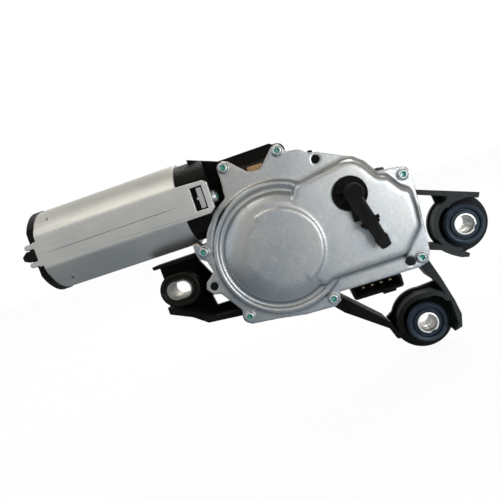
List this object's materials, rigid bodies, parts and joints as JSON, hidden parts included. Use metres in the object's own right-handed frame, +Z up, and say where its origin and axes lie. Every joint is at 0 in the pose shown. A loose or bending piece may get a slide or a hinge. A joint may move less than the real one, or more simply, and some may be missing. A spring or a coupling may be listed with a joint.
{
  "type": "rear wiper motor",
  "caption": "Rear-window wiper gear motor: flat gearbox with sheet cover, side motor can, hollow output spindle, washer elbow, plug socket and rubber-bushed mounting ears.",
  "frame": {"origin": "wiper-arm seat: foot of the spindle's threaded end, on the spindle's axis", "axes": "+Y along the spindle towards its threaded tip, +X along the armature away from the motor can, +Z up"},
  "size_m": [0.2453, 0.0956, 0.1397],
  "materials": {
    "housing_plastic": "moulded charcoal black",
    "peg_plastic": "smooth black",
    "cover_zinc": "satin zinc plate with a fine grain",
    "can_zinc": "matt zinc plate",
    "gasket_fibre": "brown speckled fibre",
    "screw_zinc": "bright zinc",
    "elbow_plastic": "soft black",
    "connector_plastic": "black",
    "tin": "tinned",
    "rubber": "blue-black sheen",
    "sleeve_zinc": "bright zinc",
    "ferrite": "grey ferrite",
    "sinter": "oiled sintered bronze",
    "steel": "ground steel",
    "lamination": "stacked sheet",
    "copper": "enamelled copper",
    "carbon": "carbon",
    "brown_board": "phenolic board",
    "gear_nylon": "natural nylon",
    "park_brass": "bare brass"
  },
  "bodies": {
    "housing": {"gear_housing": "housing_plastic", "locating_pegs": "peg_plastic", "cover_gasket": "gasket_fibre", "cover_plate": "cover_zinc", "cover_screws": "screw_zinc", "washer_elbow": "elbow_plastic", "connector_shell": "connector_plastic", "terminal_pins": "tin", "grommet_right": "rubber", "grommet_lower": "rubber", "grommet_slot": "rubber", "sleeve_right": "sleeve_zinc", "sleeve_lower": "sleeve_zinc", "sleeve_slot": "sleeve_zinc", "motor_can": "can_zinc", "tongue_catch": "sleeve_zinc", "end_cap": "housing_plastic", "rear_bearing": "sinter", "thrust_pad": "peg_plastic", "mid_bearing": "sinter", "front_bearing": "sinter", "magnets": "ferrite", "brush_holder": "brown_board", "brushes": "carbon", "neck_screws": "screw_zinc", "wheel_axle": "steel", "thrust_washer": "steel", "spindle_bushes": "sinter", "spindle_seal": "rubber", "spindle_washer": "steel", "choke_carrier": "brown_board", "chokes": "copper", "contact_springs": "park_brass"},
    "armature": {"worm_shaft": "steel", "armature_core": "lamination", "windings": "copper", "commutator": "copper"},
    "wheel": {"worm_wheel": "gear_nylon", "crank_pin": "steel", "crank_washer": "steel", "contact_disc": "park_brass"},
    "link": {"link_plate": "steel", "link_pin": "steel"},
    "lever": {"sector_lever": "steel"},
    "spindle": {"output_spindle": "steel", "spindle_clip": "steel"}
  },
  "joints": [
    {"name": "armature_spin", "type": "hinge", "parent": "housing", "child": "armature", "pos_m": [0, -0.048, 0.0222], "axis": [1, 0, 0], "range_deg": [0, 9360]},
    {"name": "wheel_spin", "type": "hinge", "parent": "housing", "child": "wheel", "pos_m": [-0.0425, -0.048, -0.0155], "axis": [0, -1, 0], "range_deg": [0, 180.01]},
    {"name": "link_swing", "type": "hinge", "parent": "housing", "child": "link", "pos_m": [0, -0.061, 0], "axis": [0, -1, 0], "range_deg": [0, 36.66]},
    {"name": "lever_pivot", "type": "hinge", "parent": "link", "child": "lever", "pos_m": [-0.00566, -0.061, -0.01709], "axis": [0, 1, 0], "range_deg": [0, 36.66]},
    {"name": "spindle_turn", "type": "hinge", "parent": "housing", "child": "spindle", "pos_m": [0, 0, 0], "axis": [0, -1, 0], "range_deg": [0, 109.98]}
  ],
  "couplings": [
    {"joint": "wheel_spin", "follows": "armature_spin", "ratio": 0.019231},
    {"joint": "link_swing", "follows": "armature_spin", "ratio": 0.0039161},
    {"joint": "lever_pivot", "follows": "armature_spin", "ratio": 0.0039161},
    {"joint": "spindle_turn", "follows": "armature_spin", "ratio": 0.011748}
  ]
}
